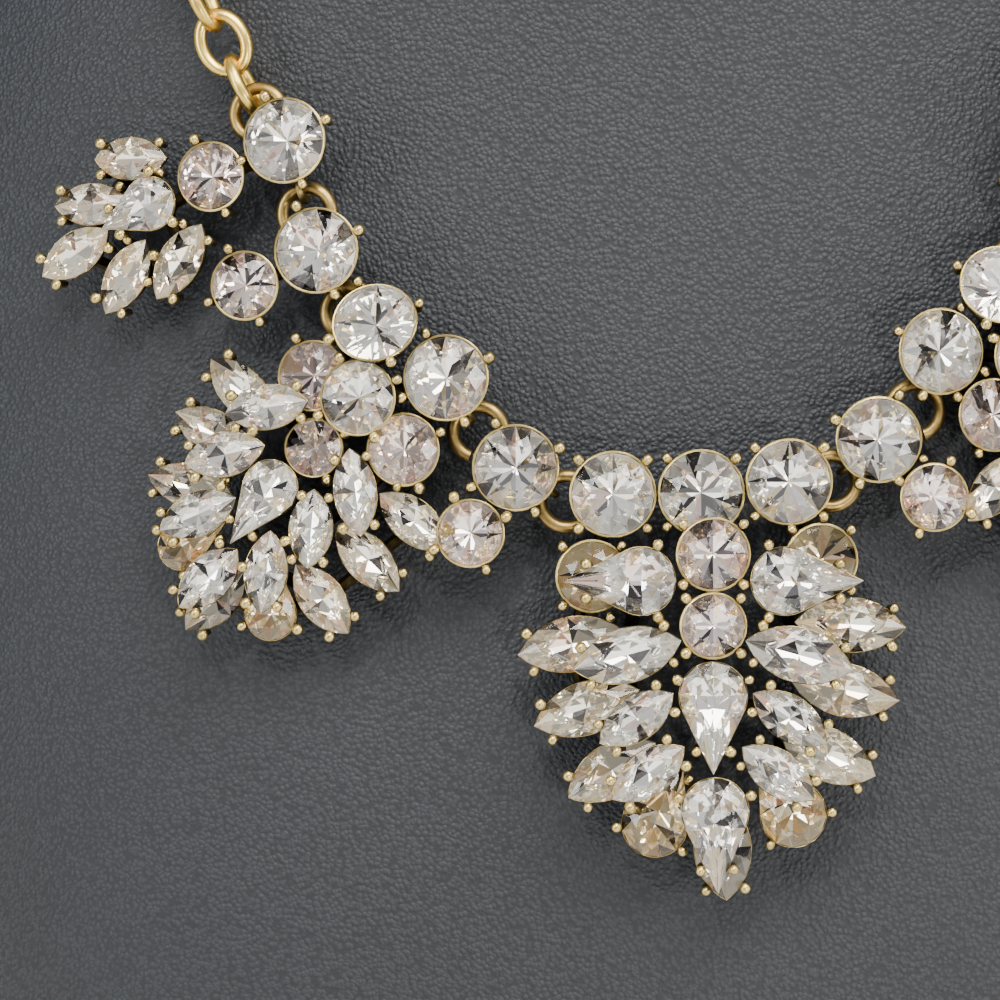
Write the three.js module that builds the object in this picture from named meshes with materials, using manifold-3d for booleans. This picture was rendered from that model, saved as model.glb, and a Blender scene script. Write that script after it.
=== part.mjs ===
// Bib necklace of glass stones on a plain neck bust. Millimetres, +Z up, front towards -Y.
// The origin is the middle of the bust's flat base.
import * as THREE from "three";
import { mergeVertices } from "three/addons/utils/BufferGeometryUtils.js";
import Module from "manifold-3d";

const wasm = await Module();
wasm.setup();

// Driving dimensions.
const pieceGap = 0.3; // air between neighbouring pieces
const shortestEdge = 0.01; // a solid's edges shorter than this are closed up
const chestLean = 20; // degrees that the chest slopes back from upright
const rowHeight = 109; // height of the middle of the necklace's top row
const chestFront = -50; // y of the chest at rowHeight
const bustSquareness = 2.5; // superellipse exponent of every bust section
const bibLift = 5; // backs of the castings above the chest

const plateThick = 1.1; // back plate of a casting
const barWidth = 2.6; // bar between two stones, or from a stone out to its loop
const seatHeight = 2.2; // undersides of the lower stones above a casting's back
const tierStep = 1.8; // rise from the lower stones to the upper ones
const tableShare = 0.58; // a stone's flat table over its girdle
const crownShare = 0.18; // a crown's height over the stone's width
const stemWidth = 2.5; // posts that carry the upper stones
const stemShy = 0.6; // posts end this far under level stones
const nodStemShy = 0.9; // and this far under a stone that nods
const saucerShare = 0.6; // seat under an upper stone over the stone

const ringWire = 1.45;
const ringOuter = 7.15; // jump ring, outside diameter
const ringDepth = 1.5; // middle of a jump ring behind a casting's back
const bailHole = 2.4;
const bailWall = 0.5;
const bailThick = 1.1;

const linkWire = 1.5;
const linkLength = 8.2; // outside
const linkWidth = 6.6; // outside
const hookGap = 1.3; // play between a chain's end link and what it hooks into
const linkPitch = 5.4; // from one link's middle to the next, where they bear on each other
const linkRoll = 45; // degrees that a link is turned out of the chain's lie, left and right in turn
const chainLift = 4.2; // middle of the chain above the bust
const claspLength = 14;
const claspWidth = 7.8;
const claspWire = 1.5;

const baseSkew = 4; // degrees that the centre's lower tier is turned under its upper tier
const baseSkewHeight = -18; // up-coordinate that it turns about

const gold = { color: 0xa9854a, roughness: 0.35, metalness: 1 };
const crystal = { color: 0xe9e6df, roughness: 0.05, metalness: 0 };
const leatherette = { color: 0x25282b, roughness: 0.6, metalness: 0 };

// Sections of the bust, from its base up: half width, and y of the front and of the back.
const bustRows = [
  { z: 0, half: 86, front: -66, back: 47 },
  { z: 8, half: 91, front: -71, back: 50 },
  { z: 28, half: 96, front: -74, back: 52 },
  { z: 60, half: 100, front: chestFrontAt(60), back: 54 },
  { z: 109, half: 103, front: chestFrontAt(109), back: 54 },
  { z: 150, half: 97, front: chestFrontAt(150), back: 54 },
  { z: 172, half: 80, front: -30, back: 53 },
  { z: 190, half: 63, front: -31, back: 52 },
  { z: 212, half: 56, front: -35, back: 50 },
  { z: 240, half: 55, front: -38, back: 49 },
  { z: 258, half: 56, front: -39, back: 49 },
  { z: 262, half: 53, front: -36, back: 46 },
];

// Route of one side's chain over the bust: height, and degrees round from the side (-90 is the front).
const chainRows = [
  { z: 160, round: -57 },
  { z: 171, round: -47 },
  { z: 182, round: -32 },
  { z: 189, round: -6 },
  { z: 194, round: 24 },
  { z: 198, round: 50 },
  { z: 200, round: 72 },
  { z: 200, round: 90 },
];

// Castings on one side of the middle: place of the main stone on the chest, and degrees that the
// casting faces outwards (yaw) and is turned in its own plane (turn).
const castingRows = [
  { name: "centre", side: 0, x: 0, up: 0, yaw: 0, turn: 0 },
  { name: "inner_left", side: -1, x: 21.5, up: 2.1, yaw: 3, turn: 0 },
  { name: "side_left", side: -1, x: 29.0, up: 12.0, yaw: 8, turn: 0 },
  { name: "outer_left", side: -1, x: 43.2, up: 26.1, yaw: 11, turn: 0 },
  { name: "end_left", side: -1, x: 46.6, up: 38.3, yaw: 15, turn: 0 },
  { name: "inner_right", side: 1, x: 18.2, up: 5.2, yaw: 3, turn: 9 },
  { name: "side_right", side: 1, x: 24.9, up: 14.9, yaw: 8, turn: 10 },
  { name: "outer_right", side: 1, x: 36.4, up: 31.5, yaw: 11, turn: 10 },
  { name: "end_right", side: 1, x: 37.8, up: 44.0, yaw: 15, turn: 10 },
];

// Charts of stones, as seen from the front: out from the middle of the necklace and up, lean in degrees
// from out towards up (a pear's point and a navette's outer end), tier 0 low to 1 high. Stones with
// own: true are pieces of their own. The others are modelled on their casting.
const centreStones = [
  { name: "top", pair: true, cut: "round", out: 9.7, up: -0.1, width: 9.1, tier: 0, own: true },
  { name: "top_middle", cut: "round", out: 0, up: -0.6, width: 9.1, tier: 0, own: true },
  { name: "column_high", cut: "round", out: 0, up: -7.4, width: 7.7, tier: 1, own: true },
  { name: "column_low", cut: "round", out: 0, up: -15.2, width: 6.9, tier: 1, own: true },
  { name: "wing_pear", pair: true, cut: "pear", out: 7.85, up: -10.3, lean: 0, length: 12.3, width: 7.5, tier: 1, own: true },
  { name: "middle_pear", cut: "pear", out: 0, up: -22.9, lean: -90, length: 12.3, width: 7.5, tier: 1, own: true },
  { name: "drop_pear", cut: "pear", out: 0.2, up: -35.5, lean: -88, length: 12.7, width: 7.4, tier: 1, own: true },
  { name: "under_round", pair: true, cut: "round", out: 12.6, up: -8.9, width: 7.6, tier: 0 },
  { name: "fan_high_1", pair: true, cut: "navette", out: 9.4, up: -18.4, lean: -15, length: 12.2, width: 6, tier: 1 },
  { name: "fan_high_2", pair: true, cut: "navette", out: 8.4, up: -25.3, lean: -34, length: 9.7, width: 4.9, tier: 1 },
  { name: "fan_high_3", pair: true, cut: "navette", out: 7.1, up: -31.3, lean: -36, length: 9.7, width: 4.9, tier: 1 },
  { name: "fan_low_1", pair: true, cut: "navette", out: 15.3, up: -16.2, lean: -7, length: 12.2, width: 6, tier: 0 },
  { name: "fan_low_2", pair: true, cut: "navette", out: 14.2, up: -23.3, lean: -15, length: 12.2, width: 5.8, tier: 0 },
  { name: "fan_low_3", pair: true, cut: "navette", out: 11.9, up: -30.3, lean: -28, length: 11.3, width: 5.8, tier: 0 },
  { name: "foot_pear", pair: true, cut: "pear", out: 7.6, up: -36.5, lean: 114, length: 11.9, width: 7.3, tier: 0 },
  { name: "under_navette", cut: "navette", out: -0.4, up: -39.7, lean: -90, length: 11.4, width: 6.3, tier: 0 },
];
const sideStones = [
  { name: "big_low", cut: "round", out: 0, up: 0, width: 9.1, tier: 0, own: true },
  { name: "big_high", cut: "round", out: 7.6, up: 6.1, width: 9.1, tier: 0.8, nod: 24, own: true },
  { name: "round_top", cut: "round", out: 9.4, up: -2.2, width: 8, tier: 1, own: true },
  { name: "round_outer", cut: "round", out: 14.7, up: 0.3, width: 7.4, tier: 0, own: true },
  { name: "round_inner", cut: "round", out: 4.7, up: -7.9, width: 7.7, tier: 0, own: true },
  { name: "round_small", cut: "round", out: 14.6, up: -7.7, width: 6.2, tier: 0, own: true },
  { name: "pear", cut: "pear", out: 19.1, up: -12.1, lean: -54, length: 10.7, width: 6.2, tier: 1, own: true },
  { name: "fan_1_low", cut: "navette", out: 22.6, up: -1.3, lean: 45, length: 9.9, width: 4.9, tier: 0 },
  { name: "fan_1_high", cut: "navette", out: 19.5, up: -3.2, lean: -8, length: 9.3, width: 5, tier: 1, stem: -0.15 },
  { name: "fan_2_low", cut: "navette", out: 25.8, up: -6, lean: 29, length: 9.8, width: 4.9, tier: 0 },
  { name: "fan_2_high", cut: "navette", out: 24.2, up: -8.4, lean: -12, length: 9.2, width: 5, tier: 1 },
  { name: "fan_3_low", cut: "navette", out: 28.4, up: -11.9, lean: 15, length: 9.9, width: 4.9, tier: 0 },
  { name: "fan_3_high", cut: "navette", out: 27.2, up: -15, lean: -23, length: 9.3, width: 4.9, tier: 1 },
  { name: "fan_4_low", cut: "pear", out: 29.4, up: -18.6, lean: 150, length: 8.6, width: 5.3, tier: 0 },
  { name: "fan_5_high", cut: "navette", out: 26, up: -22.1, lean: -44, length: 9.2, width: 5, tier: 1 },
  { name: "fan_5_low", cut: "navette", out: 25.6, up: -24.5, lean: -45, length: 9.4, width: 4.9, tier: 0 },
  { name: "fan_6_high", cut: "navette", out: 19.6, up: -21.4, lean: -83, length: 9.2, width: 4.8, tier: 1 },
  { name: "fan_6_low", cut: "pear", out: 19.4, up: -26.1, lean: 93, length: 9.4, width: 5.8, tier: 0 },
  { name: "fan_7_high", cut: "navette", out: 14.6, up: -16.6, lean: -85, length: 8.7, width: 4.9, tier: 1 },
  { name: "fan_7_low", cut: "navette", out: 13.7, up: -24.4, lean: -128, length: 9.6, width: 5, tier: 0 },
  { name: "fan_8_high", cut: "navette", out: 9.7, up: -12.6, lean: -97, length: 9.7, width: 4.8, tier: 1 },
  { name: "fan_8_low", cut: "navette", out: 8.6, up: -20, lean: -135, length: 9.9, width: 4.9, tier: 0 },
  { name: "fan_9_low", cut: "navette", out: 3.5, up: -15.8, lean: -141, length: 9.8, width: 4.8, tier: 0 },
];
const innerStones = [
  { name: "big", cut: "round", out: 0, up: 0, width: 9.1, tier: 0, own: true },
  { name: "small", cut: "round", out: 4.9, up: -7.2, width: 7.1, tier: 0.6, own: true },
];
const outerStones = [
  { name: "big", cut: "round", out: 0, up: 0, width: 9.1, tier: 0, own: true },
  { name: "small", cut: "round", out: 8, up: -3.8, width: 7.3, tier: 0, own: true },
];
const endStones = [
  { name: "big", cut: "round", out: 0, up: 0, width: 9.1, tier: 0, own: true },
  { name: "small", cut: "round", out: 8.3, up: -3.8, width: 7.4, tier: 0, own: true },
  { name: "pear", cut: "pear", out: 14.7, up: -6.8, lean: -26, length: 9.2, width: 6, tier: 1, own: true },
  { name: "spray_1", cut: "navette", out: 17.4, up: -1.6, lean: 0, length: 8.6, width: 4.8, tier: 0 },
  { name: "spray_2", cut: "navette", out: 21.9, up: -6.6, lean: -2, length: 8.8, width: 4.7, tier: 0 },
  { name: "spray_3", cut: "navette", out: 23.8, up: -12.1, lean: -33, length: 9.3, width: 4.8, tier: 0 },
  { name: "spray_4", cut: "navette", out: 18, up: -14.8, lean: -60, length: 9.5, width: 4.8, tier: 0 },
  { name: "spray_5", cut: "navette", out: 11.9, up: -13.2, lean: -57, length: 9.8, width: 4.9, tier: 0 },
];

// What each casting carries: its chart, and the stones under whose middles its back plates run.
const castingKinds = {
  centre: {
    stones: centreStones,
    plates: [[
      "top_left", "top_middle", "top_right", "under_round_right", "fan_low_1_right", "fan_low_2_right",
      "fan_low_3_right", "foot_pear_right", "under_navette", "foot_pear_left", "fan_low_3_left",
      "fan_low_2_left", "fan_low_1_left", "under_round_left",
    ]],
  },
  side: {
    stones: sideStones,
    plates: [[
      "big_low", "big_high", "round_outer", "fan_1_low", "fan_2_low", "fan_3_low", "fan_4_low", "fan_5_low",
      "fan_6_low", "fan_7_low", "fan_8_low", "fan_9_low", "round_inner",
    ]],
  },
  inner: { stones: innerStones, plates: [["big", "small"]] },
  outer: { stones: outerStones, plates: [["big", "small"]] },
  end: {
    stones: endStones,
    plates: [["big", "small"], ["small", "spray_1", "spray_2", "spray_3", "spray_4", "spray_5"]],
  },
};

// Jump rings of one side, from the middle outwards: the castings that each joins, and its middle in the
// outer one's chart. The last one holds the chain.
const ringRows = [
  { from: "centre", fromStone: "top", to: "inner", out: -5.5, up: -3.7 },
  { from: "inner", fromStone: "big", to: "side", out: -3.1, up: -5.9 },
  { from: "side", fromStone: "big_high", to: "outer", out: -3, up: -6.6 },
  { from: "outer", fromStone: "big", to: "end", out: -1.4, up: -7.8 },
  { from: "end", fromStone: "big", to: null, out: 4, up: 3.4 },
];

const radians = THREE.MathUtils.degToRad;

function chestFrontAt(z) {
  return chestFront + (z - rowHeight) * Math.tan((chestLean * Math.PI) / 180);
}

// How far the chest has fallen back at x from the middle.
function chestDrop(x) {
  const row = bustRows.find((section) => section.z === rowHeight);
  const depth = (row.back - row.front) / 2;
  const share = Math.pow(Math.abs(x) / row.half, bustSquareness);
  return depth * (1 - Math.pow(1 - share, 1 / bustSquareness));
}

// Geometry and solids.

// A closed geometry through copies of one outline: each level scales it and lifts it to a height.
function loftOutline(outline, levels) {
  const positions = [];
  for (const level of levels) {
    for (const point of outline) {
      positions.push(point.x * level.scale, point.y * level.scale, level.z);
    }
  }
  return closeRings(positions, outline.length, levels.length);
}

// Triangles between rings of points, with a flat cap on the first ring and on the last.
function closeRings(positions, around, rings) {
  const index = [];
  const last = (rings - 1) * around;
  for (let i = 1; i < around - 1; i += 1) {
    index.push(0, i + 1, i);
    index.push(last, last + i, last + i + 1);
  }
  for (let ring = 0; ring < rings - 1; ring += 1) {
    for (let i = 0; i < around; i += 1) {
      const a = ring * around + i;
      const b = ring * around + ((i + 1) % around);
      index.push(a, b, b + around);
      index.push(a, b + around, a + around);
    }
  }
  const geometry = new THREE.BufferGeometry();
  geometry.setAttribute("position", new THREE.Float32BufferAttribute(positions, 3));
  geometry.setIndex(index);
  return geometry;
}

function toSolid(geometry, matrix) {
  let source = geometry.clone();
  source.deleteAttribute("normal");
  source.deleteAttribute("uv");
  source = mergeVertices(source, 1e-4);
  if (matrix) {
    source.applyMatrix4(matrix);
  }
  const vertProperties = new Float32Array(source.attributes.position.array);
  const triVerts = new Uint32Array(source.index.array);
  return new wasm.Manifold(new wasm.Mesh({ numProp: 3, vertProperties, triVerts }));
}

function toGeometry(solid) {
  const mesh = solid.simplify(shortestEdge).getMesh();
  const geometry = new THREE.BufferGeometry();
  geometry.setAttribute("position", new THREE.Float32BufferAttribute(mesh.vertProperties, 3));
  geometry.setIndex(new THREE.Uint32BufferAttribute(mesh.triVerts, 1));
  return geometry;
}

function joinSolids(solids) {
  return solids.reduce((whole, solid) => whole.add(solid));
}

function namedMesh(name, geometry, look) {
  const mesh = new THREE.Mesh(geometry, new THREE.MeshStandardMaterial(look));
  mesh.name = name;
  return mesh;
}

// Outlines of the three cuts, about the place that the charts give, long axis along x.

function roundOutline(width, sides = 12) {
  const outline = [];
  for (let i = 0; i < sides; i += 1) {
    const angle = ((i + 0.5) / sides) * 2 * Math.PI;
    outline.push(new THREE.Vector2(Math.cos(angle), Math.sin(angle)).multiplyScalar(width / 2));
  }
  return outline;
}

function navetteOutline(length, width) {
  const reach = length / 2;
  const radius = (reach * reach + (width * width) / 4) / width;
  const half = Math.asin(reach / radius);
  const drop = radius - width / 2;
  const steps = 4;
  const outline = [];
  for (const flip of [1, -1]) {
    for (let i = 0; i < steps; i += 1) {
      const angle = half - (i / steps) * 2 * half;
      outline.push(new THREE.Vector2(Math.sin(angle) * radius * flip, (Math.cos(angle) * radius - drop) * flip));
    }
  }
  return outline;
}

function pearOutline(length, width) {
  const radius = width / 2;
  const tip = length - radius;
  const tangent = Math.acos(radius / tip);
  const steps = 8;
  const outline = [new THREE.Vector2(tip, 0)];
  for (let i = 0; i <= steps; i += 1) {
    const angle = tangent + (i / steps) * 2 * (Math.PI - tangent);
    outline.push(new THREE.Vector2(Math.cos(angle) * radius, Math.sin(angle) * radius));
  }
  return outline;
}

function stoneOutline(stone) {
  if (stone.cut === "navette") {
    return navetteOutline(stone.length, stone.width);
  }
  if (stone.cut === "pear") {
    return pearOutline(stone.length, stone.width);
  }
  return roundOutline(stone.width);
}

// Stones of a casting, placed in the casting's own plane.

function placeStones(kind, row) {
  const placed = [];
  for (const stone of castingKinds[kind].stones) {
    if (row.side !== 0) {
      placed.push(placeStone(stone, row.side, row, stone.name));
    } else if (stone.pair) {
      placed.push(placeStone(stone, -1, row, `${stone.name}_left`));
      placed.push(placeStone(stone, 1, row, `${stone.name}_right`));
    } else {
      placed.push(placeStone(stone, 1, row, stone.name));
    }
  }
  return placed;
}

function placeStone(stone, side, row, name) {
  const stretch = 1 / Math.cos(radians(row.yaw));
  const lean = radians(stone.lean ?? 0);
  const place = new THREE.Vector2(side * stone.out * stretch, stone.up);
  let angle = side > 0 ? lean : Math.PI - lean;
  if (row.side === 0 && stone.tier === 0) {
    place.rotateAround(new THREE.Vector2(0, baseSkewHeight), radians(baseSkew));
    angle += radians(baseSkew);
  }
  return { ...stone, name, place, angle, z: seatHeight + stone.tier * tierStep };
}

// From the stone's own frame, with its underside at z = 0, to its casting's.
function stoneMatrix(stone) {
  const matrix = new THREE.Matrix4().makeTranslation(stone.place.x, stone.place.y, stone.z);
  matrix.multiply(new THREE.Matrix4().makeRotationX(-radians(stone.nod ?? 0)));
  return matrix.multiply(new THREE.Matrix4().makeRotationZ(stone.angle));
}

function stoneGeometry(stone) {
  const levels = [{ scale: 1, z: 0 }, { scale: tableShare, z: crownShare * stone.width }];
  return loftOutline(stoneOutline(stone), levels);
}

// The metal under one stone, and the stone itself where it is modelled on its casting.
function seatSolids(stone) {
  const outline = stoneOutline(stone);
  const matrix = stoneMatrix(stone);
  const solids = [];
  if (stone.own) {
    const share = stone.tier === 0 || stone.nod ? 1 : saucerShare;
    const depth = stone.tier === 0 ? seatHeight - plateThick / 2 : 1;
    const levels = [{ scale: share * 0.85, z: -depth }, { scale: share, z: -pieceGap }];
    solids.push(toSolid(loftOutline(outline, levels), matrix));
  } else {
    const depth = stone.tier === 0 ? seatHeight - plateThick / 2 : 0.7;
    const levels = [
      { scale: stone.tier === 0 ? 0.85 : saucerShare, z: -depth },
      { scale: 1, z: 0 },
      { scale: tableShare, z: crownShare * stone.width },
    ];
    solids.push(toSolid(loftOutline(outline, levels), matrix));
  }
  if (stone.tier > 0) {
    solids.push(stemSolid(stone));
  }
  return solids;
}

// A post from the back plate up into an upper stone's seat, clear of the stones below.
function stemSolid(stone) {
  const defaults = { round: 0, navette: -0.4, pear: -0.2 };
  const shift = (stone.stem ?? defaults[stone.cut]) * 0.5 * (stone.length ?? 0);
  const foot = new THREE.Vector2(Math.cos(stone.angle), Math.sin(stone.angle));
  foot.multiplyScalar(shift).add(stone.place);
  const levels = [{ scale: 1, z: plateThick / 2 }, { scale: 1, z: stone.z - (stone.nod ? nodStemShy : stemShy) }];
  const matrix = new THREE.Matrix4().makeTranslation(foot.x, foot.y, 0);
  return toSolid(loftOutline(roundOutline(stemWidth, 6), levels), matrix);
}

// A back plate: a bar that runs a little past two stones' middles, or a sheet under those of three or more.
function plateSolid(corners) {
  let points = corners;
  if (corners.length === 2) {
    const along = corners[1].clone().sub(corners[0]).setLength(barWidth / 2);
    const across = along.clone().rotateAround(new THREE.Vector2(), Math.PI / 2);
    const start = corners[0].clone().sub(along);
    const end = corners[1].clone().add(along);
    points = [
      start.clone().add(across), start.clone().sub(across),
      end.clone().sub(across), end.clone().add(across),
    ];
  }
  const sheet = new THREE.ExtrudeGeometry(new THREE.Shape(points), { depth: plateThick, bevelEnabled: false });
  return toSolid(sheet);
}

// The loop behind a casting that a jump ring runs through, on a bar from the stone that it is soldered
// behind: ring is the ring's middle and boss the stone's, both in the casting's frame.
function bailSolid(ring, boss) {
  const reach = (ringOuter - ringWire) / 2;
  const radial = new THREE.Vector3(boss.x - ring.x, boss.y - ring.y, 0).normalize();
  const upward = new THREE.Vector3(0, 0, 1);
  const along = radial.clone().cross(upward);
  const half = bailHole / 2 + bailWall;
  const face = new THREE.Shape();
  face.moveTo(-half, -half);
  face.lineTo(half, -half);
  face.lineTo(half, plateThick / 2 - ring.z);
  face.lineTo(-half, plateThick / 2 - ring.z);
  face.closePath();
  face.holes.push(new THREE.Path(roundOutline(bailHole, 8)));
  const block = new THREE.ExtrudeGeometry(face, { depth: bailThick, bevelEnabled: false });
  const matrix = new THREE.Matrix4().makeBasis(radial, upward, along);
  const origin = ring.clone().addScaledVector(radial, reach).addScaledVector(along, -bailThick / 2);
  matrix.setPosition(origin);
  const eye = ring.clone().addScaledVector(radial, reach);
  return toSolid(block, matrix).add(plateSolid([new THREE.Vector2(eye.x, eye.y), boss]));
}

// A ring of round wire about z, drawn out to an oval along x where length is more than width.
function wireRing(length, width, wire, segments, sides) {
  const middle = (width - wire) / 2;
  const profile = [];
  for (let i = 0; i <= sides; i += 1) {
    const angle = ((i % sides) / sides) * 2 * Math.PI;
    profile.push(new THREE.Vector2(middle - Math.cos(angle) * (wire / 2), -Math.sin(angle) * (wire / 2)));
  }
  const geometry = new THREE.LatheGeometry(profile, segments);
  geometry.rotateX(Math.PI / 2);
  const position = geometry.attributes.position;
  for (let i = 0; i < position.count; i += 1) {
    const x = position.getX(i);
    const y = position.getY(i);
    position.setX(i, x + ((length - width) / 2) * (x / Math.hypot(x, y)));
  }
  return geometry;
}

// The bust.

const bustFrontCurve = new THREE.CatmullRomCurve3(
  bustRows.map((row) => new THREE.Vector3(row.half, row.front, row.z)), false, "catmullrom", 0.5,
);
const bustBackCurve = new THREE.CatmullRomCurve3(
  bustRows.map((row) => new THREE.Vector3(row.half, row.back, row.z)), false, "catmullrom", 0.5,
);

function bustPoint(share, round) {
  const front = bustFrontCurve.getPoint(share);
  const back = bustBackCurve.getPoint(share);
  const power = 2 / bustSquareness;
  const cosine = Math.cos(round);
  const sine = Math.sin(round);
  const x = front.x * Math.sign(cosine) * Math.pow(Math.abs(cosine), power);
  const y = ((back.y - front.y) / 2) * Math.sign(sine) * Math.pow(Math.abs(sine), power);
  return new THREE.Vector3(x, (front.y + back.y) / 2 + y, front.z);
}

function bustShareAt(z) {
  let low = 0;
  let high = 1;
  while (high - low > 1e-5) {
    const middle = (low + high) / 2;
    if (bustFrontCurve.getPoint(middle).z < z) {
      low = middle;
    } else {
      high = middle;
    }
  }
  return low;
}

function bustNormal(share, round) {
  const step = 1e-3;
  const here = bustPoint(share, round);
  const above = bustPoint(share + step, round).sub(here);
  const beside = bustPoint(share, round + step).sub(here);
  return beside.cross(above).normalize();
}

function makeBust() {
  const around = 28;
  const rings = 22;
  const positions = [];
  for (let ring = 0; ring < rings; ring += 1) {
    for (let i = 0; i < around; i += 1) {
      const point = bustPoint(ring / (rings - 1), ((i + 0.5) / around) * 2 * Math.PI);
      positions.push(point.x, point.y, point.z);
    }
  }
  return namedMesh("neck_bust", closeRings(positions, around, rings), leatherette);
}

// The castings.

const necklace = new THREE.Group();
necklace.position.set(0, chestFront, rowHeight);
necklace.rotation.x = Math.PI / 2 - radians(chestLean);

function makeCasting(row) {
  const kind = row.name.split("_")[0];
  const group = new THREE.Group();
  const x = (row.side || 1) * row.x;
  group.position.set(x, row.up, bibLift - chestDrop(row.x) * Math.cos(radians(chestLean)));
  group.rotation.order = "YXZ";
  group.rotation.y = radians(row.side * row.yaw);
  group.rotation.z = radians(row.turn);
  necklace.add(group);
  const stones = placeStones(kind, row);
  return { ...row, kind, group, stones, bails: [] };
}

const castings = new Map(castingRows.map((row) => [row.name, makeCasting(row)]));

function findStone(casting, name) {
  return casting.stones.find((stone) => stone.name === name);
}

// The jump rings, each set between the two castings that it joins.

function projectToRingPlane(casting, point) {
  const local = casting.group.worldToLocal(point.clone());
  local.z = -ringDepth;
  return casting.group.localToWorld(local);
}

function makeJumpRing(row, side, number) {
  const suffix = side < 0 ? "left" : "right";
  const from = castings.get(row.from === "centre" ? "centre" : `${row.from}_${suffix}`);
  const to = row.to ? castings.get(`${row.to}_${suffix}`) : from;
  const stretch = 1 / Math.cos(radians(to.yaw));
  const place = new THREE.Vector3(side * row.out * stretch, row.up, -ringDepth);
  const onTo = to.group.localToWorld(place);
  const middle = projectToRingPlane(from, onTo).add(onTo).multiplyScalar(0.5);
  const turn = from.group.quaternion.clone().slerp(to.group.quaternion, 0.5);
  const mesh = namedMesh(`jump_ring_${number}_${suffix}`, wireRing(ringOuter, ringOuter, ringWire, 12, 5), gold);
  mesh.position.copy(necklace.worldToLocal(middle.clone()));
  mesh.quaternion.copy(turn);
  necklace.add(mesh);
  const fromName = row.from === "centre" ? `${row.fromStone}_${suffix}` : row.fromStone;
  addBail(from, middle, findStone(from, fromName).place);
  if (row.to) {
    addBail(to, middle, to.stones[0].place);
  }
  return middle;
}

function addBail(casting, middle, boss) {
  const ring = casting.group.worldToLocal(middle.clone());
  casting.bails.push(bailSolid(ring, boss));
}

necklace.updateMatrixWorld(true);
const lastRings = new Map();
for (const side of [-1, 1]) {
  ringRows.forEach((row, i) => lastRings.set(side, makeJumpRing(row, side, i + 1)));
}

function finishCasting(casting) {
  const solids = castingKinds[casting.kind].plates.map((names) => {
    return plateSolid(names.map((name) => findStone(casting, name).place));
  });
  for (const stone of casting.stones) {
    solids.push(...seatSolids(stone));
  }
  solids.push(...casting.bails);
  casting.group.add(namedMesh(`setting_${casting.name}`, toGeometry(joinSolids(solids)), gold));
  for (const stone of casting.stones.filter((each) => each.own)) {
    const mesh = namedMesh(`stone_${casting.name}_${stone.name}`, stoneGeometry(stone), crystal);
    stoneMatrix(stone).decompose(mesh.position, mesh.quaternion, mesh.scale);
    casting.group.add(mesh);
  }
}

castings.forEach(finishCasting);

// The chain: links fused end to end along one side's route, from the last jump ring to the clasp.

function chainRoute(side, ringMiddle) {
  const over = chainRows.map((row) => {
    const share = bustShareAt(row.z);
    const round = radians(row.round);
    return bustPoint(share, round).addScaledVector(bustNormal(share, round), chainLift);
  });
  over.forEach((point) => point.setX(point.x * side));
  const reach = (ringOuter - ringWire) / 2 - (ringWire + linkWire) / 2 - hookGap;
  const heading = over[0].clone().sub(ringMiddle).normalize();
  const start = ringMiddle.clone().addScaledVector(heading, reach);
  return new THREE.CatmullRomCurve3([start, ...over]);
}

function makeChain(side, ringMiddle) {
  const route = chainRoute(side, ringMiddle);
  const halfLink = (linkLength - linkWire) / 2;
  const claspReach = (claspLength - claspWire) / 2 - (claspWire + linkWire) / 2 - hookGap;
  const length = route.getLength() - claspReach;
  const steps = Math.round((length - 2 * halfLink) / linkPitch);
  const pitch = (length - 2 * halfLink) / steps;
  const link = wireRing(linkLength, linkWidth, linkWire, 8, 3);
  const links = [];
  for (let i = 0; i <= steps; i += 1) {
    const share = (halfLink + i * pitch) / route.getLength();
    const middle = route.getPointAt(share);
    const along = route.getTangentAt(share);
    const outward = new THREE.Vector3(middle.x, middle.y, 0).normalize();
    const across = outward.clone().cross(along).normalize();
    const normal = along.clone().cross(across);
    const matrix = new THREE.Matrix4().makeBasis(along, across, normal);
    matrix.multiply(new THREE.Matrix4().makeRotationX(radians(side * (i % 2 === 0 ? linkRoll : -linkRoll))));
    matrix.setPosition(middle);
    links.push(toSolid(link, matrix));
  }
  const name = side < 0 ? "chain_left" : "chain_right";
  return namedMesh(name, toGeometry(joinSolids(links)), gold);
}

function makeClasp() {
  const share = bustShareAt(chainRows[chainRows.length - 1].z);
  const middle = bustPoint(share, Math.PI / 2);
  middle.addScaledVector(bustNormal(share, Math.PI / 2), chainLift);
  const mesh = namedMesh("clasp", wireRing(claspLength, claspWidth, claspWire, 14, 6), gold);
  mesh.position.copy(middle);
  mesh.rotation.x = Math.PI / 2;
  return mesh;
}

const bibNecklaceOnBust = new THREE.Group();
bibNecklaceOnBust.add(makeBust());
bibNecklaceOnBust.add(necklace);
for (const side of [-1, 1]) {
  bibNecklaceOnBust.add(makeChain(side, lastRings.get(side)));
}
bibNecklaceOnBust.add(makeClasp());

export default bibNecklaceOnBust;
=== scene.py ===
import math
import random

import bmesh
import bpy
import numpy as np
from mathutils import Matrix, Vector


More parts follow.
